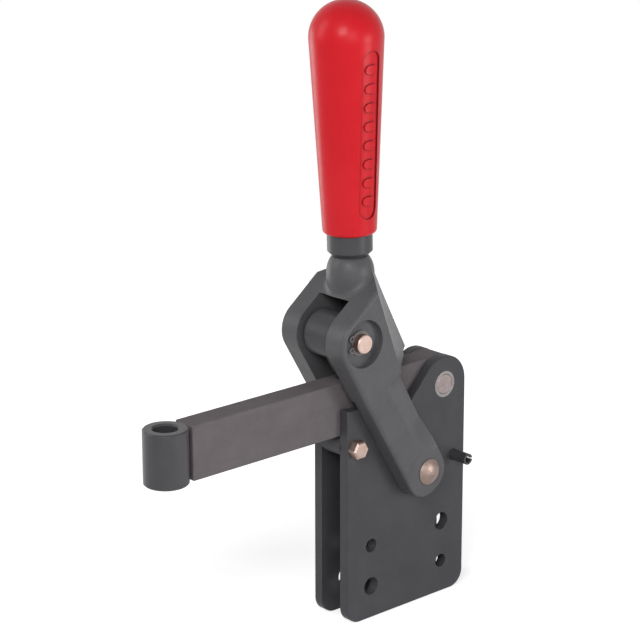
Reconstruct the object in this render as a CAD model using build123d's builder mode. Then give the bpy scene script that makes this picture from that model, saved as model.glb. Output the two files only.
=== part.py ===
from build123d import *
from math import atan2, cos, degrees, hypot, radians, sin
import os

# Vertical-handle toggle clamp: two upright side plates carry a solid bar arm and a forged
# handle yoke, joined by a toggle link. All sizes are millimetres. +X runs to the rear,
# Z is up and Y = 0 is the clamp's middle plane. The origin is under the middle of the clamp.

# Fits
running_fit = 0.04           # radial clearance of a bushing on its pin
seat_fit = 0.02              # radial clearance of a bushing or pin in its seat
side_gap = 0.3               # clearance between parts that slide past each other
edge_break = 0.5             # chamfer that takes the sharpness off plate and bar edges

# Side plates
plate_length = 95.4
plate_front_height = 132.6
plate_thickness = 6.35
plate_foot_radius = 10.0
plate_slope = 47.0           # angle of the slanted edge above the horizontal, in degrees
plate_top_fall = 6.0         # fall of the front part's top edge towards the rear, in degrees
mount_spacing_x = 57.6       # between the two columns of mounting holes
mount_spacing_z = 25.6       # between the two rows
mount_row_height = 20.1
mount_hole_radius = 5.5      # fixing holes, upper rear and lower front
dowel_hole_radius = 4.2      # dowel holes, upper front and lower rear

# Arm and spindle sleeve
arm_width = 15.3
arm_height = 31.75
arm_end_radius = 17.0        # round rear end, about the arm's pivot
arm_reach = 107.5            # from the plates' front edge to the arm's end
sleeve_radius = 12.7
sleeve_bore_radius = 7.0
sleeve_gap = 0.2
sleeve_chamfer = 0.8

# Pivots, measured from the plates' lower front corner
arm_pivot_from_front = 78.2
arm_pivot_height = 132.1
handle_pivot_from_front = 54.2
handle_pivot_height = 86.1
yoke_pivot_from_front = 1.5
yoke_pivot_rise = 43.5       # above the arm's pivot

# Pins and bushings
arm_pin_radius = 6.1
arm_bushing_wall = 1.85
handle_rivet_radius = 5.5
rivet_head_radius = 8.0
rivet_head_height = 3.2
yoke_pin_radius = 5.6
yoke_pin_proud = 0.8         # how far the pin stands out of the ears
pin_chamfer = 0.6
bushing_wall = 1.6
link_pin_radius = 5.0

# Yoke
ear_radius = 16.6
ear_outer = 26.7             # half of the yoke's width
ear_inner = 12.3             # half of the gap between the ears
foot_radius = 13.4
foot_toe = 3.2               # how far the foot stands forward of a round end
plate_to_limb = 0.6          # running gap between a limb and its plate
limb_edge_radius = 2.4
limb_bevel_depth = 7.4       # fall of the limb's rear bevel at its back edge
limb_bevel_runout = 16.0     # length over which the bevel fades out above the foot
spotface_radius = 14.0
spotface_depth = 4.4
foot_spotface_depth = 0.6
foot_spotface_radius = 16.0
web_swing_gap = 2.4          # from the plates' rear lobe to the yoke's web as it swings over
web_arm_relief = 1.5         # extra height of the web above the arm, between the ears
web_back_slope = 63.6        # angle of the web's back above the horizontal, in degrees
web_back_reach = 39.3        # from the yoke pin to the web's back, square to it
ridge_half_width = 9.0       # half of the flat on the web's back
pad_slope = 70.0             # angle of the ear pad's back edge above the horizontal
pad_reach = 19.0             # from the yoke pin to that edge, square to it
shoulder_slope = 38.1        # angle of the ear's front shoulder above the horizontal
shoulder_height = 27.4       # foot of the neck above the yoke pin
fork_radius = 22.0           # round clearance for the link between the ears
washer_radius = 9.5          # thrust washers between the hub and the ears

# Handle neck, collar and grip
handle_lean = 1.4            # forward lean of the handle's axis, in degrees
neck_from_front = 15.3       # the axis at the height of the shoulders
neck_radius = 13.8
neck_bulge_height = 7.0      # the neck is widest here
neck_waist_radius = 12.8
neck_top_radius = 10.2
neck_height = 16.9
neck_root = 10.0             # how far the neck goes down into the shoulders
neck_fillet = 5.0            # between the neck and the shoulders
undercut_radius = 9.5
undercut_height = 0.7
collar_radius = 13.0
collar_height = 12.9
collar_chamfer = 2.4
shank_radius = 7.5
shank_length = 118.0
grip_length = 132.0
grip_foot_radius = 15.4
grip_head_radius = 21.1      # the round top, where the grip is widest
grip_foot_rounding = 2.0
panel_length = 96.0          # sunk panels on the grip's sides
panel_width = 12.6
panel_depth = 0.8
panel_from_top = 74.0        # from the grip's top to the middle of a panel
panel_bars = 8
panel_bar_length = 8.2
panel_bar_width = 5.0

# Link
hub_radius = 13.6
hub_width = 18.3
tongue_radius = 9.0
tongue_width = 7.0
tongue_gap = 0.4             # between the tongue and each cheek of the arm

# Circlips
circlip_thickness = 1.1
circlip_radius = 7.3
circlip_gap = 3.0
circlip_ear_radius = 1.9
circlip_ear_hole = 0.8
groove_depth = 0.7

# Stops
stop_from_front = 6.0
stop_spacer_radius = 6.6
stop_bolt_radius = 3.0
stop_head_flats = 10.0
stop_head_height = 5.8
stop_nut_height = 5.0
stop_chamfer = 0.9
open_stop_from_front = 86.1
open_stop_height = 86.2
open_stop_radius = 3.4
open_stop_wall = 1.2
open_stop_slit = 1.0
open_stop_proud = 12.7       # beyond each plate

os.makedirs("parts", exist_ok=True)

# Places that follow from the sizes above
front_most = arm_reach + sleeve_gap + 2 * sleeve_radius
plate_front = (front_most - plate_length) / 2
plate_rear = plate_front + plate_length
plate_inner = arm_width / 2 + side_gap
plate_outer = plate_inner + plate_thickness
limb_inner = plate_outer + plate_to_limb
lobe_radius = plate_length - arm_pivot_from_front
arm_bushing_radius = arm_pin_radius + arm_bushing_wall
yoke_bushing_radius = yoke_pin_radius + bushing_wall
rivet_bushing_radius = handle_rivet_radius + bushing_wall
tongue_slot = tongue_width / 2 + tongue_gap


def pivot(from_front, height):
    """A place in the middle plane, from its distance behind the plates' front edge."""
    return Vector(plate_front + from_front, height)


arm_pivot = pivot(arm_pivot_from_front, arm_pivot_height)
handle_pivot = pivot(handle_pivot_from_front, handle_pivot_height)
yoke_pivot = pivot(yoke_pivot_from_front, arm_pivot_height + yoke_pivot_rise)
stop_place = pivot(stop_from_front, arm_pivot_height - arm_height / 2 - side_gap - stop_spacer_radius)
open_stop_place = pivot(open_stop_from_front, open_stop_height)

# The limbs run from the yoke pin straight down to the handle rivet. When the clamp is closed
# the link lies on the same line, with its lower pin on the arm's middle line.
limb_vector = handle_pivot - yoke_pivot
limb_length = limb_vector.length
limb_way = limb_vector.normalized()
limb_back = Vector(-limb_way.Y, limb_way.X)
link_length = yoke_pivot_rise / -limb_way.Y
link_pivot = yoke_pivot + limb_way * link_length
web_radius = (arm_pivot - handle_pivot).length + lobe_radius + web_swing_gap


def side_plane(y):
    """The upright plane at this Y. Its sketches read X and Z, and extrude towards -Y."""
    return Plane.XZ.offset(-y)


def write(builder, name):
    """Label a finished piece and write its STEP file."""
    builder.part.label = name
    export_step(builder.part, f"parts/{name}.step")


def turned(angle):
    """The direction at this angle above +X, in the X-Z plane."""
    return Vector(cos(radians(angle)), sin(radians(angle)))


sides = (("left", -1), ("right", 1))


def near_face(side, inner, outer):
    """The higher Y of the pair of faces that a piece has on this side."""
    return -inner if side < 0 else outer


# Side plates
slope_way = turned(plate_slope)
slope_touch = arm_pivot + turned(plate_slope + 90) * lobe_radius
front_corner = pivot(0, plate_front_height)
top_way = turned(-plate_top_fall)
notch_run = (
    (slope_touch.X - front_corner.X) * slope_way.Y - (slope_touch.Y - front_corner.Y) * slope_way.X
) / (top_way.X * slope_way.Y - top_way.Y * slope_way.X)
notch = front_corner + top_way * notch_run
lobe_middle = arm_pivot + turned((plate_slope + 90) / 2) * lobe_radius
mount_columns = [plate_front + plate_length / 2 + k * mount_spacing_x / 2 for k in (-1, 1)]
mount_rows = [mount_row_height, mount_row_height + mount_spacing_z]

for side_name, side in sides:
    with BuildPart() as side_plate:
        with BuildSketch(side_plane(near_face(side, plate_inner, plate_outer))):
            with BuildLine():
                Polyline(
                    (plate_rear, arm_pivot.Y),
                    (plate_rear, 0),
                    (plate_front, 0),
                    (front_corner.X, front_corner.Y),
                    (notch.X, notch.Y),
                    (slope_touch.X, slope_touch.Y),
                )
                ThreePointArc(
                    (slope_touch.X, slope_touch.Y),
                    (lobe_middle.X, lobe_middle.Y),
                    (plate_rear, arm_pivot.Y),
                )
            outline = make_face()
            fillet(outline.vertices().group_by(Axis.Y)[0], plate_foot_radius)
            with Locations((mount_columns[0], mount_rows[0]), (mount_columns[1], mount_rows[1])):
                Circle(mount_hole_radius, mode=Mode.SUBTRACT)
            with Locations((mount_columns[1], mount_rows[0]), (mount_columns[0], mount_rows[1])):
                Circle(dowel_hole_radius, mode=Mode.SUBTRACT)
            with Locations((arm_pivot.X, arm_pivot.Y)):
                Circle(arm_bushing_radius + seat_fit, mode=Mode.SUBTRACT)
            with Locations((handle_pivot.X, handle_pivot.Y)):
                Circle(handle_rivet_radius + seat_fit, mode=Mode.SUBTRACT)
            with Locations((stop_place.X, stop_place.Y)):
                Circle(stop_bolt_radius + seat_fit, mode=Mode.SUBTRACT)
            with Locations((open_stop_place.X, open_stop_place.Y)):
                Circle(open_stop_radius + seat_fit, mode=Mode.SUBTRACT)
        extrude(amount=plate_thickness)
        outer_face = side_plate.faces().sort_by(Axis.Y)[0 if side < 0 else -1]
        chamfer(outer_face.outer_wire().edges(), edge_break)
    write(side_plate, f"side_plate_{side_name}")

    with BuildPart() as plate_bushing:
        with BuildSketch(side_plane(near_face(side, plate_inner, plate_outer))):
            with Locations((arm_pivot.X, arm_pivot.Y)):
                Circle(arm_bushing_radius)
                Circle(arm_pin_radius + seat_fit, mode=Mode.SUBTRACT)
        extrude(amount=plate_thickness)
    write(plate_bushing, f"arm_pivot_ring_{side_name}")

# Arm: a solid bar, slotted where the link's tongue swings through it
slot_front = link_pivot.X - 21.2
slot_rear = link_pivot.X + 22.0
with BuildPart() as clamp_arm:
    with BuildSketch(side_plane(arm_width / 2)):
        with Locations((plate_front - arm_reach, arm_pivot.Y)):
            Rectangle(arm_reach + arm_pivot_from_front, arm_height, align=(Align.MIN, Align.CENTER))
        with Locations((arm_pivot.X, arm_pivot.Y)):
            Circle(arm_end_radius)
            Circle(arm_bushing_radius + seat_fit, mode=Mode.SUBTRACT)
        with Locations((link_pivot.X, link_pivot.Y)):
            Circle(link_pin_radius + running_fit, mode=Mode.SUBTRACT)
    extrude(amount=arm_width)
    arm_end = clamp_arm.faces().sort_by(Axis.X)[0]
    arm_sides = clamp_arm.faces().filter_by(Axis.Y)
    chamfer(arm_end.edges() + arm_sides.edges().filter_by(Axis.X), edge_break)
    with BuildSketch(Plane.XY.offset(arm_pivot.Y - arm_height)):
        with Locations(((slot_front + slot_rear) / 2, 0)):
            Rectangle(slot_rear - slot_front, 2 * tongue_slot)
    extrude(amount=2 * arm_height, mode=Mode.SUBTRACT)
write(clamp_arm, "clamp_arm")

with BuildPart() as arm_bushing:
    with BuildSketch(side_plane(arm_width / 2)):
        with Locations((arm_pivot.X, arm_pivot.Y)):
            Circle(arm_bushing_radius)
            Circle(arm_pin_radius + running_fit, mode=Mode.SUBTRACT)
    extrude(amount=arm_width)
write(arm_bushing, "arm_bushing")

sleeve_x = plate_front - arm_reach - sleeve_gap - sleeve_radius
with BuildPart() as spindle_sleeve:
    with BuildSketch(Plane.XY.offset(arm_pivot.Y - arm_height / 2)):
        with Locations((sleeve_x, 0)):
            Circle(sleeve_radius)
            Circle(sleeve_bore_radius, mode=Mode.SUBTRACT)
    extrude(amount=arm_height)
    chamfer(spindle_sleeve.edges().filter_by(GeomType.CIRCLE), sleeve_chamfer)
write(spindle_sleeve, "spindle_sleeve")

# Arm pivot pin, flush with the plates
with BuildPart() as arm_pivot_pin:
    with BuildSketch(side_plane(plate_outer)):
        with Locations((arm_pivot.X, arm_pivot.Y)):
            Circle(arm_pin_radius)
    extrude(amount=2 * plate_outer)
    chamfer(arm_pivot_pin.edges().filter_by(GeomType.CIRCLE), pin_chamfer / 2)
write(arm_pivot_pin, "arm_pivot_pin")

# Handle rivet with its two domed heads, and the tube that spaces the plates round it
head_seat = ear_outer - foot_spotface_depth + side_gap
dome_radius = (rivet_head_radius**2 + rivet_head_height**2) / (2 * rivet_head_height)
with BuildPart() as handle_rivet:
    with BuildSketch(Plane((handle_pivot.X, 0, handle_pivot.Y), x_dir=(1, 0, 0), z_dir=(0, 0, 1))):
        with BuildLine():
            Polyline((handle_rivet_radius, 0), (0, 0), (0, head_seat + rivet_head_height))
            RadiusArc(
                (0, head_seat + rivet_head_height), (rivet_head_radius, head_seat), dome_radius
            )
            Polyline(
                (rivet_head_radius, head_seat),
                (handle_rivet_radius, head_seat),
                (handle_rivet_radius, 0),
            )
        make_face()
    revolve(axis=Axis((handle_pivot.X, 0, handle_pivot.Y), (0, 1, 0)))
    mirror(about=Plane.XZ)
write(handle_rivet, "handle_rivet")

with BuildPart() as pivot_spacer:
    with BuildSketch(side_plane(plate_inner)):
        with Locations((handle_pivot.X, handle_pivot.Y)):
            Circle(rivet_head_radius)
            Circle(handle_rivet_radius + seat_fit, mode=Mode.SUBTRACT)
    extrude(amount=2 * plate_inner)
write(pivot_spacer, "pivot_spacer")


# Handle yoke
def on_limb(along, back):
    """A point of the limb, from its distance along and behind the pivots' line."""
    place = yoke_pivot + limb_way * along + limb_back * back
    return (place.X, place.Y)


def crossing(place_a, way_a, place_b, way_b):
    """Where two straight lines meet."""
    run = ((place_b.X - place_a.X) * way_b.Y - (place_b.Y - place_a.Y) * way_b.X) / (
        way_a.X * way_b.Y - way_a.Y * way_b.X
    )
    return place_a + way_a * run


shoulder_way = turned(shoulder_slope)
shoulder_touch = yoke_pivot + turned(shoulder_slope + 90) * ear_radius
back_way = turned(180 - web_back_slope)
back_place = yoke_pivot + turned(90 - web_back_slope) * web_back_reach
shoulder_top = crossing(shoulder_touch, shoulder_way, back_place, back_way)
back_low = back_place - back_way * web_radius
web_top = yoke_pivot.Y + shoulder_height


def limb_hull():
    """The limb's outline: the ear and the foot, joined by their tangents."""
    with Locations((yoke_pivot.X, yoke_pivot.Y)):
        Circle(ear_radius)
    with Locations((handle_pivot.X, handle_pivot.Y)):
        Circle(foot_radius)
    with Locations(on_limb(limb_length, -foot_toe)):
        Circle(foot_radius)
    make_hull()


neck_plane = Plane(
    (plate_front + neck_from_front, 0, web_top),
    x_dir=(cos(radians(handle_lean)), 0, sin(radians(handle_lean))),
    z_dir=(-sin(radians(handle_lean)), 0, cos(radians(handle_lean))),
)


def in_front(edge):
    """Whether an edge is on an outer face of the yoke, in front of the limb or on the ear's top."""
    middle = edge.center()
    place = Vector(middle.X, middle.Z) - yoke_pivot
    outside = abs(abs(middle.Y) - ear_outer) < seat_fit
    return outside and (place.dot(limb_back) < -foot_radius / 2 or place.Y > ear_radius)


def at_neck_foot(edge):
    """Whether an edge lies on the neck's side, where the neck meets the shoulders and the web."""
    for share in (0.1, 0.5, 0.9):
        away = edge.position_at(share) - neck_plane.origin
        radius = away.cross(neck_plane.z_dir).length
        if not neck_waist_radius - seat_fit < radius < neck_radius + running_fit:
            return False
    return True


def slope_profile(place, edge_way, side, run, fall, width):
    """The section of what a slope cuts from one outer face of the yoke.

    The slope starts at the edge that runs through place along edge_way. Over the run behind
    that edge it falls by this much towards the middle plane, and it is this wide in all.
    """
    back = Vector(-edge_way.Y, edge_way.X)
    slope_plane = Plane(
        (place.X, side * ear_outer, place.Y),
        x_dir=(back.X, 0, back.Y),
        z_dir=(edge_way.X, 0, edge_way.Y),
    )
    with BuildSketch(slope_plane) as profile:
        with BuildLine():
            Polyline(
                (0, 0),
                (width, side * fall * width / run),
                (width, -side * ear_outer),
                (0, -side * ear_outer),
                (0, 0),
            )
        make_face()
    return profile.sketch


with BuildPart() as handle_yoke:
    # ears, shoulders and web, which end on a curve that swings clear of the plates
    with BuildSketch(side_plane(ear_outer)):
        limb_hull()
        with BuildLine():
            Polyline(
                (yoke_pivot.X, yoke_pivot.Y),
                (shoulder_touch.X, shoulder_touch.Y),
                (shoulder_top.X, shoulder_top.Y),
                (back_low.X, back_low.Y),
                on_limb(limb_length, 0),
                (yoke_pivot.X, yoke_pivot.Y),
            )
        make_face()
        with Locations((handle_pivot.X, handle_pivot.Y)):
            Circle(web_radius, mode=Mode.SUBTRACT)
    extrude(amount=2 * ear_outer)
    # slanted flanks, from the ear pads' back edges to the ridge on the web's back
    pad_way = turned(-pad_slope)
    pad_back = Vector(-pad_way.Y, pad_way.X)
    pad_place = yoke_pivot + pad_back * pad_reach
    for side_name, side in sides:
        flank = []
        for along in (-limb_length, limb_length):
            place = pad_place + pad_way * along
            run = (crossing(place, pad_back, back_place, back_way) - place).length
            fall = ear_outer - ridge_half_width
            flank.append(slope_profile(place, pad_way, side, run, fall, run + pad_reach))
        loft(flank, ruled=True, mode=Mode.SUBTRACT)
    fillet(handle_yoke.edges().filter_by(in_front), limb_edge_radius)
    # limbs below them, with the same rounded front edges
    with BuildPart(mode=Mode.PRIVATE) as limbs:
        with BuildSketch(side_plane(ear_outer)):
            limb_hull()
            with Locations((handle_pivot.X, handle_pivot.Y)):
                Circle(web_radius + seat_fit, mode=Mode.INTERSECT)
        extrude(amount=2 * ear_outer)
        fillet(limbs.edges().filter_by(in_front), limb_edge_radius)
    add(limbs.part)
    # slopes on the limbs' backs, from the ear pads down to the feet
    pad_end = limb_length - (web_radius**2 - ear_radius**2) ** 0.5
    bevel_end = limb_length - foot_spotface_radius - limb_bevel_runout
    bevel_stations = (
        (pad_end, limb_bevel_depth),
        (bevel_end, limb_bevel_depth),
        (limb_length - rivet_head_radius, foot_spotface_depth),
    )
    for side_name, side in sides:
        bevel = []
        for along, fall in bevel_stations:
            place = yoke_pivot + limb_way * along
            width = ear_radius + side_gap
            bevel.append(slope_profile(place, limb_way, side, ear_radius, fall, width))
        loft(bevel, ruled=True, mode=Mode.SUBTRACT)
    # round neck
    with BuildSketch(Plane(neck_plane.origin, x_dir=neck_plane.x_dir, z_dir=-neck_plane.y_dir)):
        with BuildLine():
            Polyline((0, neck_height), (0, -neck_root), (neck_waist_radius, -neck_root))
            Line((neck_waist_radius, -neck_root), (neck_waist_radius, -neck_bulge_height))
            Spline(
                (neck_waist_radius, -neck_bulge_height),
                (neck_radius, neck_bulge_height),
                (neck_top_radius, neck_height),
                tangents=((0, 1), (-1, 1)),
            )
            Line((neck_top_radius, neck_height), (0, neck_height))
        make_face()
    revolve(axis=Axis(neck_plane.origin, neck_plane.z_dir))
    fillet(handle_yoke.edges().filter_by(at_neck_foot), neck_fillet)
    with BuildSketch(neck_plane.offset(neck_height)):
        Circle(undercut_radius)
    extrude(amount=undercut_height)
    # gap for the plates between the limbs
    with BuildSketch(side_plane(limb_inner)):
        with Locations((handle_pivot.X, handle_pivot.Y)):
            Circle(web_radius)
    extrude(amount=2 * limb_inner, mode=Mode.SUBTRACT)
    # gap for the link between the ears, open to the front and below
    with BuildSketch(side_plane(ear_inner)):
        with Locations((yoke_pivot.X, yoke_pivot.Y)):
            Circle(fork_radius)
        with BuildLine():
            Polyline(
                on_limb(0, fork_radius),
                on_limb(limb_length, fork_radius),
                on_limb(limb_length, -fork_radius),
                on_limb(0, -fork_radius),
                on_limb(0, fork_radius),
            )
        make_face()
        with Locations((handle_pivot.X, handle_pivot.Y)):
            Circle(web_radius + web_arm_relief)
    extrude(amount=2 * ear_inner, mode=Mode.SUBTRACT)
    # bores, and the round seats of the circlips and of the rivet's heads
    with BuildSketch(side_plane(ear_outer)):
        with Locations((yoke_pivot.X, yoke_pivot.Y)):
            Circle(yoke_pin_radius + seat_fit)
        with Locations((handle_pivot.X, handle_pivot.Y)):
            Circle(rivet_bushing_radius + seat_fit)
    extrude(amount=2 * ear_outer, mode=Mode.SUBTRACT)
    for side_name, side in sides:
        with BuildSketch(side_plane(near_face(side, ear_outer - spotface_depth, ear_outer))):
            with Locations((yoke_pivot.X, yoke_pivot.Y)):
                Circle(spotface_radius)
        extrude(amount=spotface_depth, mode=Mode.SUBTRACT)
        with BuildSketch(side_plane(near_face(side, ear_outer - foot_spotface_depth, ear_outer))):
            with Locations((handle_pivot.X, handle_pivot.Y)):
                Circle(foot_spotface_radius)
        extrude(amount=foot_spotface_depth, mode=Mode.SUBTRACT)
write(handle_yoke, "handle_yoke")

# Bushings of the limbs, thrust washers beside the link's hub
limb_face = ear_outer - foot_spotface_depth
for side_name, side in sides:
    with BuildPart() as limb_bushing:
        with BuildSketch(side_plane(near_face(side, limb_inner, limb_face))):
            with Locations((handle_pivot.X, handle_pivot.Y)):
                Circle(rivet_bushing_radius)
                Circle(handle_rivet_radius + running_fit, mode=Mode.SUBTRACT)
        extrude(amount=limb_face - limb_inner)
    write(limb_bushing, f"limb_bushing_{side_name}")

    with BuildPart() as thrust_washer:
        with BuildSketch(side_plane(near_face(side, hub_width / 2 + side_gap, ear_inner))):
            with Locations((yoke_pivot.X, yoke_pivot.Y)):
                Circle(washer_radius)
                Circle(yoke_pin_radius + seat_fit, mode=Mode.SUBTRACT)
        extrude(amount=ear_inner - hub_width / 2 - side_gap)
    write(thrust_washer, f"thrust_washer_{side_name}")

# Yoke pin with a groove and a circlip at each end
pin_end = ear_outer + yoke_pin_proud
groove_inner = ear_outer - spotface_depth
groove_outer = groove_inner + circlip_thickness
with BuildPart() as yoke_pin:
    with BuildSketch(side_plane(pin_end)):
        with Locations((yoke_pivot.X, yoke_pivot.Y)):
            Circle(yoke_pin_radius)
    extrude(amount=2 * pin_end)
    chamfer(yoke_pin.edges().filter_by(GeomType.CIRCLE), pin_chamfer)
    for side_name, side in sides:
        with BuildSketch(side_plane(near_face(side, groove_inner, groove_outer))):
            with Locations((yoke_pivot.X, yoke_pivot.Y)):
                Circle(yoke_pin_radius)
                Circle(yoke_pin_radius - groove_depth, mode=Mode.SUBTRACT)
        extrude(amount=circlip_thickness, mode=Mode.SUBTRACT)
write(yoke_pin, "yoke_pin")

circlip_ear_x = yoke_pivot.X - circlip_radius + circlip_ear_radius / 2
circlip_ear_z = circlip_gap / 2 + circlip_ear_radius
for side_name, side in sides:
    with BuildPart() as circlip:
        with BuildSketch(side_plane(near_face(side, groove_inner, groove_outer))):
            with Locations((yoke_pivot.X, yoke_pivot.Y)):
                Circle(circlip_radius)
            ears = [(circlip_ear_x, yoke_pivot.Y + k * circlip_ear_z) for k in (-1, 1)]
            with Locations(*ears):
                Circle(circlip_ear_radius)
                Circle(circlip_ear_hole, mode=Mode.SUBTRACT)
            with Locations((yoke_pivot.X, yoke_pivot.Y)):
                Circle(yoke_pin_radius - groove_depth + seat_fit, mode=Mode.SUBTRACT)
                Rectangle(
                    2 * circlip_radius,
                    circlip_gap,
                    align=(Align.MAX, Align.CENTER),
                    mode=Mode.SUBTRACT,
                )
        extrude(amount=circlip_thickness)
    write(circlip, f"circlip_{side_name}")

# Handle: shank, collar and moulded grip on the neck's axis
collar_plane = neck_plane.offset(neck_height + undercut_height)
grip_plane = collar_plane.offset(collar_height)

with BuildPart() as handle_shank:
    with BuildSketch(collar_plane):
        Circle(shank_radius)
    extrude(amount=shank_length)
    chamfer(handle_shank.edges().filter_by(GeomType.CIRCLE).sort_by(Axis.Z)[-1], pin_chamfer)
write(handle_shank, "handle_shank")

with BuildPart() as handle_collar:
    with BuildSketch(collar_plane):
        Circle(collar_radius)
        Circle(shank_radius + seat_fit, mode=Mode.SUBTRACT)
    extrude(amount=collar_height)
    collar_rims = handle_collar.edges().filter_by(GeomType.CIRCLE).group_by(Axis.Z)[0]
    chamfer(collar_rims.sort_by(SortBy.LENGTH)[-1], collar_chamfer)
write(handle_collar, "handle_collar")

grip_head = grip_length - grip_head_radius
bore_depth = shank_length - collar_height
grip_axis = Plane(grip_plane.origin, x_dir=grip_plane.x_dir, z_dir=-grip_plane.y_dir)


def grip_body(skin):
    """The grip's round body, less this much skin."""
    foot = grip_foot_radius - skin
    head = grip_head_radius - skin
    with BuildSketch(grip_axis) as profile:
        with BuildLine():
            Polyline((0, grip_head + head), (0, 0), (foot, 0), (head, grip_head))
            RadiusArc((head, grip_head), (0, grip_head + head), -head)
        make_face()
    return profile.sketch


with BuildPart() as grip_core:
    revolve(grip_body(panel_depth), axis=Axis(grip_plane.origin, grip_plane.z_dir))

# what the panels remove: a stadium with plain bars left standing, down to the core
with BuildPart() as grip_panels:
    with BuildSketch(grip_axis):
        with Locations((0, grip_length - panel_from_top)):
            SlotOverall(panel_length, panel_width, rotation=90)
            with GridLocations(0, panel_length / (panel_bars + 1), 1, panel_bars):
                SlotOverall(panel_bar_length, panel_bar_width, mode=Mode.SUBTRACT)
    extrude(amount=2 * grip_head_radius, both=True)
    add(grip_core.part, mode=Mode.SUBTRACT)

with BuildPart() as hand_grip:
    revolve(grip_body(0), axis=Axis(grip_plane.origin, grip_plane.z_dir))
    fillet(hand_grip.edges().filter_by(GeomType.CIRCLE).sort_by(Axis.Z)[0], grip_foot_rounding)
    add(grip_panels.part, mode=Mode.SUBTRACT)
    with BuildSketch(grip_plane):
        Circle(shank_radius + seat_fit)
    extrude(amount=bore_depth + seat_fit, mode=Mode.SUBTRACT)
write(hand_grip, "hand_grip")

# Toggle link: a wide hub between the ears and a tongue that reaches into the arm's slot
with BuildPart() as toggle_link:
    with BuildSketch(side_plane(tongue_width / 2)):
        with Locations((link_pivot.X, link_pivot.Y)):
            Circle(tongue_radius)
        with Locations((yoke_pivot.X, yoke_pivot.Y)):
            Circle(tongue_radius)
        make_hull()
    extrude(amount=tongue_width)
    with BuildSketch(side_plane(hub_width / 2)):
        with Locations((yoke_pivot.X, yoke_pivot.Y)):
            Circle(hub_radius)
    extrude(amount=hub_width)
    with BuildSketch(side_plane(hub_width / 2)):
        with Locations((yoke_pivot.X, yoke_pivot.Y)):
            Circle(yoke_bushing_radius + seat_fit)
        with Locations((link_pivot.X, link_pivot.Y)):
            Circle(link_pin_radius + seat_fit)
    extrude(amount=hub_width, mode=Mode.SUBTRACT)
write(toggle_link, "toggle_link")

with BuildPart() as link_bushing:
    with BuildSketch(side_plane(hub_width / 2)):
        with Locations((yoke_pivot.X, yoke_pivot.Y)):
            Circle(yoke_bushing_radius)
            Circle(yoke_pin_radius + running_fit, mode=Mode.SUBTRACT)
    extrude(amount=hub_width)
write(link_bushing, "link_bushing")

with BuildPart() as arm_link_pin:
    with BuildSketch(side_plane(tongue_width / 2)):
        with Locations((link_pivot.X, link_pivot.Y)):
            Circle(link_pin_radius)
    extrude(amount=tongue_width)
write(arm_link_pin, "arm_link_pin")

# Closed stop: a bolt through the plates, with a tube that the arm comes down on
with BuildPart() as stop_bolt:
    with BuildSketch(side_plane(plate_outer + stop_nut_height)):
        with Locations((stop_place.X, stop_place.Y)):
            Circle(stop_bolt_radius)
    extrude(amount=2 * plate_outer + stop_nut_height)
    with BuildSketch(side_plane(-plate_outer)):
        with Locations((stop_place.X, stop_place.Y)):
            RegularPolygon(stop_head_flats / 2, 6, major_radius=False)
    extrude(amount=stop_head_height)
    head_face = stop_bolt.faces().sort_by(Axis.Y)[0]
    chamfer(head_face.edges(), stop_chamfer)
write(stop_bolt, "stop_bolt")

with BuildPart() as stop_nut:
    with BuildSketch(side_plane(plate_outer + stop_nut_height)):
        with Locations((stop_place.X, stop_place.Y)):
            RegularPolygon(stop_head_flats / 2, 6, major_radius=False)
            Circle(stop_bolt_radius + seat_fit, mode=Mode.SUBTRACT)
    extrude(amount=stop_nut_height)
write(stop_nut, "stop_nut")

with BuildPart() as stop_spacer:
    with BuildSketch(side_plane(plate_inner)):
        with Locations((stop_place.X, stop_place.Y)):
            Circle(stop_spacer_radius)
            Circle(stop_bolt_radius + seat_fit, mode=Mode.SUBTRACT)
    extrude(amount=2 * plate_inner)
write(stop_spacer, "stop_spacer")

# Open stop: a slotted spring pin through both plates
with BuildPart() as open_stop_pin:
    with BuildSketch(side_plane(plate_outer + open_stop_proud)):
        with Locations((open_stop_place.X, open_stop_place.Y)):
            Circle(open_stop_radius)
            Circle(open_stop_radius - open_stop_wall, mode=Mode.SUBTRACT)
            Rectangle(
                open_stop_radius,
                open_stop_slit,
                align=(Align.MIN, Align.CENTER),
                mode=Mode.SUBTRACT,
            )
    extrude(amount=2 * (plate_outer + open_stop_proud))
write(open_stop_pin, "open_stop_pin")
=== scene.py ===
from math import cos, pi, radians, sin

import bpy
from mathutils import Matrix, Vector


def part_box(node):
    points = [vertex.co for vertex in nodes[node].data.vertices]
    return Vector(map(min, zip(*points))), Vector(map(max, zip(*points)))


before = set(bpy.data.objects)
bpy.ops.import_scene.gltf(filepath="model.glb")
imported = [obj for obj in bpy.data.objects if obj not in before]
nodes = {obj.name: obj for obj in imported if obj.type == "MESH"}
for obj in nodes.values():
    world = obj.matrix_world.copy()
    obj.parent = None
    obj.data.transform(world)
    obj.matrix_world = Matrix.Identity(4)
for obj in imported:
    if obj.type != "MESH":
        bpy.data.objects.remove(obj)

scene = bpy.context.scene
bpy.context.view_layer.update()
MM = 0.001


# ---------------------------------------------------------------- camera
CAMERA_PLACE = (-0.80166, -0.90093, 0.54946)
YAW, PITCH, ROLL = radians(42.04), radians(16.68), radians(0.14)
FOCAL_PIXELS, FRAME_PIXELS = 2243.05, 640
SENSOR_WIDTH = 36  # mm
SIGHT_END = 50  # m

forward = Vector((sin(YAW) * cos(PITCH), cos(YAW) * cos(PITCH), -sin(PITCH)))
right = Vector((cos(YAW), -sin(YAW), 0))
down = forward.cross(right)
right, down = right * cos(ROLL) + down * sin(ROLL), down * cos(ROLL) - right * sin(ROLL)

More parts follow.
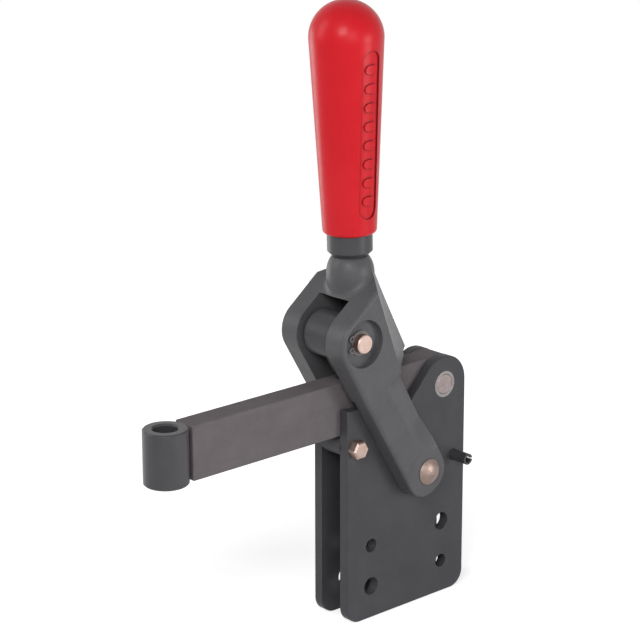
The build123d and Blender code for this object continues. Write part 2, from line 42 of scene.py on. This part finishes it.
camera_data = bpy.data.cameras.new("camera")
camera_data.sensor_width = SENSOR_WIDTH
camera_data.lens = SENSOR_WIDTH * FOCAL_PIXELS / FRAME_PIXELS
camera_data.clip_end = SIGHT_END
camera = bpy.data.objects.new("camera", camera_data)
camera.matrix_world = Matrix.Translation(CAMERA_PLACE) @ Matrix(
    (
        (right.x, -down.x, -forward.x, 0),
        (right.y, -down.y, -forward.y, 0),
        (right.z, -down.z, -forward.z, 0),
        (0, 0, 0, 1),
    )
)
scene.collection.objects.link(camera)
scene.camera = camera


# ---------------------------------------------------------------- materials
NOISE_LOW, NOISE_HIGH = 0.3, 0.7  # nearly all of a noise's values lie between these
EDGE_SAMPLES = 6
# samples for the painted shade in the grip's hollows
PAINTED_SHADE_SAMPLES = 8
FLAT_DOT, EDGE_DOT = 0.99, 0.80  # of the rounded normal and the face's, off and on an edge


class Nodes:
    """Adds nodes to one material and joins them."""

    def __init__(self, name):
        self.material = bpy.data.materials.new(name)
        self.material.use_nodes = True
        self.tree = self.material.node_tree
        self.tree.nodes.clear()
        self.output = self.add("ShaderNodeOutputMaterial")

    def add(self, kind, sockets=(), **settings):
        node = self.tree.nodes.new(kind)
        for key, value in settings.items():
            setattr(node, key, value)
        for socket, value in dict(sockets).items():
            self.put(node.inputs[socket], value)
        return node

    def put(self, socket, value):
        if isinstance(value, bpy.types.NodeSocket):
            self.tree.links.new(value, socket)
        else:
            socket.default_value = value

    def place(self, offset=(0, 0, 0), scale=(1, 1, 1)):
        """Object coordinates in metres, scaled and moved."""
        coordinates = self.add("ShaderNodeTexCoord").outputs["Object"]
        return self.add(
            "ShaderNodeMapping", {"Vector": coordinates, "Location": offset, "Scale": scale}
        ).outputs["Vector"]

    def noise(self, vector, scale, detail, roughness, distortion=0.0):
        return self.add(
            "ShaderNodeTexNoise",
            {
                "Vector": vector,
                "Scale": scale,
                "Detail": detail,
                "Roughness": roughness,
                "Distortion": distortion,
            },
        ).outputs["Fac"]

    def ramp(self, value, low=NOISE_LOW, high=NOISE_HIGH, to_low=0.0, to_high=1.0):
        return self.add(
            "ShaderNodeMapRange",
            {
                "Value": value,
                "From Min": low,
                "From Max": high,
                "To Min": to_low,
                "To Max": to_high,
            },
            clamp=True,
        ).outputs["Result"]

    def math(self, operation, a, b):
        node = self.add("ShaderNodeMath", operation=operation)
        self.put(node.inputs[0], a)
        self.put(node.inputs[1], b)
        return node.outputs[0]

    def weigh(self, a, share, b):
        """The sum of this share of a and the rest of b."""
        return self.math(
            "ADD", self.math("MULTIPLY", a, share), self.math("MULTIPLY", b, 1 - share)
        )

    def mix(self, factor, a, b):
        node = self.add("ShaderNodeMix", data_type="RGBA")
        self.put(node.inputs["Factor"], factor)
        for socket, value in ((node.inputs[6], a), (node.inputs[7], b)):
            self.put(socket, value if isinstance(value, bpy.types.NodeSocket) else (*value, 1))
        return node.outputs[2]

    def bump(self, height, distance, normal, strength=1.0):
        return self.add(
            "ShaderNodeBump",
            {"Height": height, "Distance": distance, "Normal": normal, "Strength": strength},
        ).outputs["Normal"]

    def rounded(self, radius):
        """The normal, softened along edges by this radius."""
        bevel = self.add("ShaderNodeBevel", {"Radius": radius}, samples=EDGE_SAMPLES)
        return bevel.outputs["Normal"]

    def edges(self, rounded):
        """A mask that is high along edges, where the rounded normal leaves the face's own."""
        geometry = self.add("ShaderNodeNewGeometry")
        dot = self.add("ShaderNodeVectorMath", operation="DOT_PRODUCT")
        self.put(dot.inputs[0], rounded)
        self.put(dot.inputs[1], geometry.outputs["Normal"])
        return self.ramp(dot.outputs["Value"], FLAT_DOT, EDGE_DOT)

    def finish(self, **sockets):
        shader = self.add("ShaderNodeBsdfPrincipled")
        for key, value in sockets.items():
            socket = shader.inputs[key.replace("_", " ")]
            self.put(socket, value)
        self.tree.links.new(shader.outputs["BSDF"], self.output.inputs["Surface"])
        return self.material


def tint(colour, factor):
    return tuple(channel * factor for channel in colour)


RUBBED = (0.30, 0.285, 0.28)  # bare steel on worn edges


def dark_steel(name, colour, roughness, grain, stretch, relief, worn=0.35, specular=0.15):
    """Black oxide steel: cloudy tone, fine grain, and edges rubbed a little brighter.

    The grain has this scale and stretch, and its relief is in millimetres.
    """
    make = Nodes(name)
    cloud = make.noise(make.place(), 55, 4, 0.6)
    fine = make.noise(make.place(scale=stretch), grain, 5, 0.65)
    smear = make.noise(make.place(), 140, 2, 0.5, 0.6)
    rounded = make.rounded(0.5 * MM)
    patches = make.ramp(make.noise(make.place(), 420, 3, 0.7), 0.35)
    body = make.mix(make.ramp(make.weigh(cloud, 0.7, fine)), tint(colour, 0.86), tint(colour, 1.14))
    rubbed = make.math("MULTIPLY", make.math("MULTIPLY", make.edges(rounded), patches), worn)
    return make.finish(
        Base_Color=make.mix(rubbed, body, RUBBED),
        Roughness=make.ramp(
            make.weigh(smear, 0.6, fine), to_low=roughness * 0.88, to_high=roughness * 1.12
        ),
        Normal=make.bump(fine, relief * MM, make.bump(cloud, relief * 3 * MM, rounded, 0.5)),
        Specular_IOR_Level=specular,
    )


def turned_steel(name, colour, centre, roughness):
    """Bright turned steel with fine rings about a pin's axis along Y, and a painted highlight along
    its edges.
    """
    make = Nodes(name)
    rings = make.add(
        "ShaderNodeTexWave",
        {
            "Vector": make.place(offset=tuple(-c for c in centre)),
            "Scale": 900,
            "Distortion": 1.5,
            "Detail": 2.0,
            "Detail Scale": 0.4,
        },
        wave_type="RINGS",
        rings_direction="Y",
        wave_profile="SIN",
    ).outputs["Fac"]
    cloud = make.noise(make.place(), 260, 4, 0.6)
    rounded = make.rounded(0.25 * MM)
    body = make.mix(make.ramp(cloud), tint(colour, 0.85), tint(colour, 1.08))
    # painted highlight: the colour is brightened along every edge
    painted_edge_highlight = make.math("MULTIPLY", make.edges(rounded), 0.4)
    return make.finish(
        Base_Color=make.mix(painted_edge_highlight, body, tint(colour, 1.35)),
        Roughness=make.ramp(
            make.weigh(cloud, 0.7, rings), 0.2, 0.8, roughness * 0.8, roughness * 1.25
        ),
        Normal=make.bump(rings, 0.006 * MM, rounded),
        Metallic=1.0,
    )


def moulded_vinyl(name, low_tone, high_tone, painted_shade_tone):
    """Glossy vinyl with a faint orange peel, slight tone changes and painted shade in its hollows.
    """
    make = Nodes(name)
    cloud = make.noise(make.place(), 34, 3, 0.5)
    peel = make.noise(make.place(), 900, 3, 0.55)
    ripple = make.noise(make.place(scale=(1, 1, 0.35)), 90, 2, 0.5)
    # painted shade: where ambient occlusion finds a hollow or crease, the colour turns to the dark
    # shade tone
    open_share = make.add(
        "ShaderNodeAmbientOcclusion", {"Distance": 2.0 * MM}, samples=PAINTED_SHADE_SAMPLES
    ).outputs["AO"]
    body = make.mix(make.ramp(cloud), low_tone, high_tone)
    return make.finish(
        Base_Color=make.mix(make.ramp(open_share, 0.55, 0.95), painted_shade_tone, body),
        Roughness=make.ramp(make.noise(make.place(), 220, 3, 0.6), to_low=0.30, to_high=0.38),
        Normal=make.bump(
            peel, 0.010 * MM, make.bump(ripple, 0.05 * MM, make.rounded(0.4 * MM), 0.5)
        ),
        Specular_IOR_Level=0.16,
        Coat_Weight=0.04,
        Coat_Roughness=0.12,
    )


def centre_of(node):
    low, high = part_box(node)
    return tuple((low + high) / 2)


PLATE = (0.062, 0.062, 0.067)
BAR = (0.148, 0.133, 0.137)
FORGED = (0.094, 0.092, 0.097)
TURNED = (0.052, 0.050, 0.054)
LINK = (0.060, 0.058, 0.062)
SPRING = (0.16, 0.15, 0.15)
COPPERED = (0.50, 0.37, 0.32)
RING = (0.23, 0.215, 0.215)
DISC = (0.25, 0.205, 0.20)
# the third red is the painted shade laid into the grip's hollows
RED_LOW, RED_HIGH, RED_PAINTED_SHADE = (0.62, 0.010, 0.018), (0.68, 0.015, 0.024), (0.20, 0.004, 0.008)

EVEN = (1, 1, 1)
ALONG_X, ALONG_Y, ALONG_Z = (0.05, 1, 1), (1, 0.08, 1), (1, 1, 0.04)  # drawn-out grain

plate_finish = dark_steel("black_plate", PLATE, 0.50, 900, EVEN, 0.012)
bar_finish = dark_steel("drawn_bar", BAR, 0.56, 700, ALONG_X, 0.010, specular=0.04)
forged_finish = dark_steel("forged_black", FORGED, 0.40, 420, EVEN, 0.05, worn=0.45, specular=0.2)
turned_finish = dark_steel("turned_black", TURNED, 0.36, 900, ALONG_Z, 0.012, specular=0.3)
link_finish = dark_steel("machined_black", LINK, 0.38, 900, ALONG_Y, 0.012)
spring_finish = dark_steel("spring_black", SPRING, 0.32, 900, EVEN, 0.008)

finishes = {
    "side_plate_left": plate_finish,
    "side_plate_right": plate_finish,
    "stop_spacer": plate_finish,
    "pivot_spacer": plate_finish,
    "clamp_arm": bar_finish,
    "spindle_sleeve": turned_finish,
    "handle_yoke": forged_finish,
    "handle_collar": turned_finish,
    "handle_shank": turned_finish,
    "toggle_link": link_finish,
    "circlip_left": spring_finish,
    "circlip_right": spring_finish,
    "open_stop_pin": turned_finish,
    "hand_grip": moulded_vinyl("red_vinyl", RED_LOW, RED_HIGH, RED_PAINTED_SHADE),
}
rear_pivot = centre_of("arm_pivot_pin")
for name in ("arm_pivot_ring_left", "arm_pivot_ring_right"):
    finishes[name] = turned_steel("ground_" + name, RING, rear_pivot, 0.34)
finishes["arm_pivot_pin"] = turned_steel("pin_arm_pivot", DISC, rear_pivot, 0.36)
coppered_tones = {"handle_rivet": 0.50, "stop_bolt": 0.80, "stop_nut": 0.80, "yoke_pin": 0.85}
for name, tone in coppered_tones.items():
    colour = tint(COPPERED, tone)
    finishes[name] = turned_steel("coppered_" + name, colour, centre_of(name), 0.42)
for name in nodes:
    if name not in finishes:
        finishes[name] = turned_steel("bright_" + name, RING, centre_of(name), 0.32)
for name, finish in finishes.items():
    slots = nodes[name].data.materials
    slots.clear()
    slots.append(finish)


# ---------------------------------------------------------------- floor and light
FLOOR_RADIUS, FLOOR_SIDES = 0.75, 64  # m
FLOOR_DROP = 0.0002  # m
FLOOR_TONES = (0.79, 0.79, 0.79), (0.81, 0.81, 0.81)
GLOW_START, GLOW_END = 0.12, 0.50  # from the middle, where the glow starts and ends its rise
GLOW_LOW, GLOW_HIGH = 0.66, 1.0
WORLD_FILL = 0.07
WHITE = 1.0
BACKGROUND_RAYS = ("Is Camera Ray", "Is Glossy Ray", "Is Transmission Ray")


def background_rays(tree):
    """1 for the rays that see the white background, otherwise 0."""
    light_path = tree.nodes.new("ShaderNodeLightPath")
    seen = light_path.outputs[BACKGROUND_RAYS[0]]
    for ray in BACKGROUND_RAYS[1:]:
        either = tree.nodes.new("ShaderNodeMath")
        either.operation = "MAXIMUM"
        tree.links.new(seen, either.inputs[0])
        tree.links.new(light_path.outputs[ray], either.inputs[1])
        seen = either.outputs[0]
    return seen


def floor_material():
    """Pale floor that takes shadows near the part and blends into the white further out."""
    make = Nodes("pale_floor")
    away = make.add("ShaderNodeVectorMath", operation="LENGTH")
    make.put(away.inputs[0], make.place())
    rise = make.ramp(away.outputs["Value"], GLOW_START, GLOW_END, GLOW_LOW, GLOW_HIGH)
    strength = make.math("MULTIPLY", background_rays(make.tree), rise)
    speckle = make.noise(make.place(), 12, 2, 0.5)
    diffuse = make.add("ShaderNodeBsdfDiffuse", {"Color": make.mix(speckle, *FLOOR_TONES)})
    glow = make.add("ShaderNodeEmission", {"Color": (1, 1, 1, 1), "Strength": strength})
    both = make.add("ShaderNodeAddShader")
    make.tree.links.new(diffuse.outputs[0], both.inputs[0])
    make.tree.links.new(glow.outputs[0], both.inputs[1])
    make.tree.links.new(both.outputs[0], make.output.inputs["Surface"])
    return make.material


turns = [2 * pi * side / FLOOR_SIDES for side in range(FLOOR_SIDES)]
rim = [(FLOOR_RADIUS * cos(turn), FLOOR_RADIUS * sin(turn), 0) for turn in turns]
floor_mesh = bpy.data.meshes.new("floor")
floor_mesh.from_pydata(rim, [], [range(FLOOR_SIDES)])
floor_mesh.materials.append(floor_material())
floor = bpy.data.objects.new("floor", floor_mesh)
floor.location.z = -FLOOR_DROP
scene.collection.objects.link(floor)

world = bpy.data.worlds.new("studio")
world.use_nodes = True
scene.world = world
tree = world.node_tree
tree.nodes.clear()
background = tree.nodes.new("ShaderNodeBackground")
background.inputs["Color"].default_value = (1, 1, 1, 1)
strength = tree.nodes.new("ShaderNodeMapRange")
strength.inputs["To Min"].default_value = WORLD_FILL
strength.inputs["To Max"].default_value = WHITE
tree.links.new(background_rays(tree), strength.inputs["Value"])
tree.links.new(strength.outputs["Result"], background.inputs["Strength"])
world_output = tree.nodes.new("ShaderNodeOutputWorld")
tree.links.new(background.outputs[0], world_output.inputs["Surface"])

LAMP_AIM = Vector((0.0, 0.0, 0.20))
# each lamp's name, place, width and height in metres, and level
LAMPS = (
    ("key", (-0.78, -0.58, 0.82), 0.4, 0.4, 0.50),
    ("front", (-0.42, -1.05, 0.55), 0.6, 0.5, 0.20),
    ("right", (0.55, -1.15, 0.22), 0.5, 0.5, 0.38),
    ("back", (-0.90, 0.75, 0.75), 0.5, 0.9, 0.30),
    ("rear", (-0.20, 1.35, 0.12), 0.6, 0.6, 0.18),
)


def softbox(name, place, width, height, level):
    """A soft area lamp that gives this level of light on a surface that faces it at the aim."""
    away = LAMP_AIM - Vector(place)
    data = bpy.data.lights.new(name, "AREA")
    data.shape = "RECTANGLE"
    data.size, data.size_y = width, height
    data.energy = level * pi * pi * away.length**2
    lamp = bpy.data.objects.new(name, data)
    lamp.location = place
    lamp.rotation_mode = "QUATERNION"
    lamp.rotation_quaternion = away.to_track_quat("-Z", "Y")
    scene.collection.objects.link(lamp)


for lamp in LAMPS:
    softbox(*lamp)

scene.view_settings.view_transform = "Standard"
